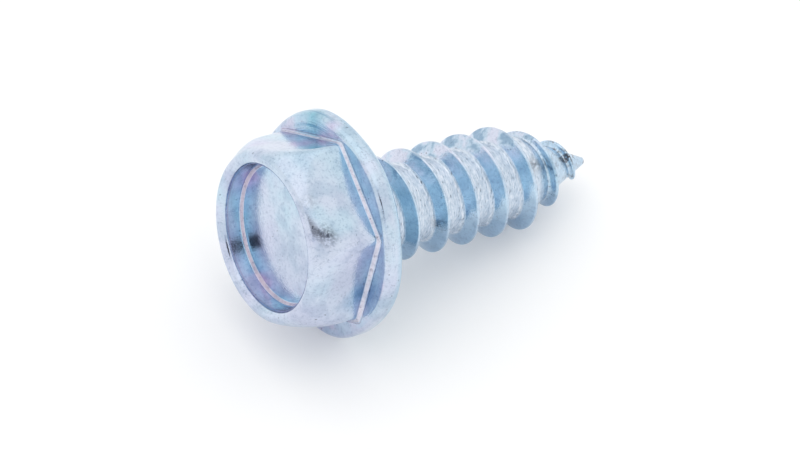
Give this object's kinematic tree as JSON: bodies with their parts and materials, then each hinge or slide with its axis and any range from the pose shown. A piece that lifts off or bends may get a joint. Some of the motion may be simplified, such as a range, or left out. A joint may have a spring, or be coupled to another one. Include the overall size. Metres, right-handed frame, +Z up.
{
  "type": "hex washer head tapping screw",
  "caption": "Self-tapping metal screw with a hexagon washer head, a shallow indentation in its top, a coarse right-hand thread and a sharp point, lying at rest.",
  "frame": {"origin": "on the ground, under the centre of the screw's bounding box", "axes": "+X towards the point along the ground, +Z up. The screw's own axis lies in the XZ plane and slopes down to the point by 14.62 degrees, because it rests on the rim of its washer and on one crest of the thread"},
  "size_m": [0.0176, 0.01, 0.0097],
  "materials": {
    "zinc_plated_steel": "bright blue-passivated zinc on steel"
  },
  "bodies": {
    "root": {"hex_washer_screw": "zinc_plated_steel"}
  },
  "joints": []
}
